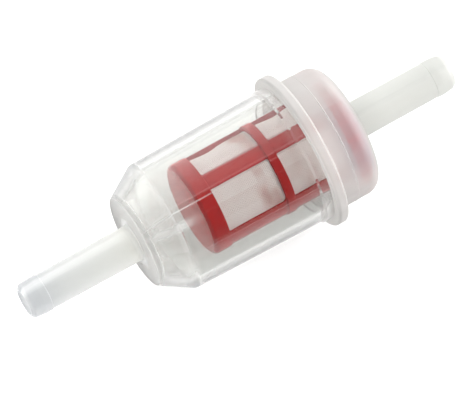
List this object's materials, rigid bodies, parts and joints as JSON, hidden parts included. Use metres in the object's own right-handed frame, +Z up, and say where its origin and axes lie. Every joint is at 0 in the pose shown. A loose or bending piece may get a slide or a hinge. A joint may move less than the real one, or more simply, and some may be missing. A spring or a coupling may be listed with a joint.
{
  "type": "inline fuel filter",
  "caption": "Inline fuel filter: a clear bowl and a frosted cap, each with a hose spigot, welded around a red cage lined with woven mesh.",
  "frame": {"origin": "on the flow axis, halfway between the tips of the two spigots", "axes": "+X along the flow axis, from inlet to outlet; +Z up, through a narrow rib of the cage"},
  "size_m": [0.102, 0.0344, 0.0344],
  "materials": {
    "clear_plastic": "clear, polished, faintly hazy at the spigot",
    "frosted_plastic": "milky, frosted",
    "red_plastic": "moulded, satin gloss",
    "mesh": "woven nylon"
  },
  "bodies": {
    "root": {"clear_bowl": "clear_plastic", "frosted_cap": "frosted_plastic", "strainer_cage": "red_plastic", "mesh_sleeve": "mesh"}
  },
  "joints": []
}
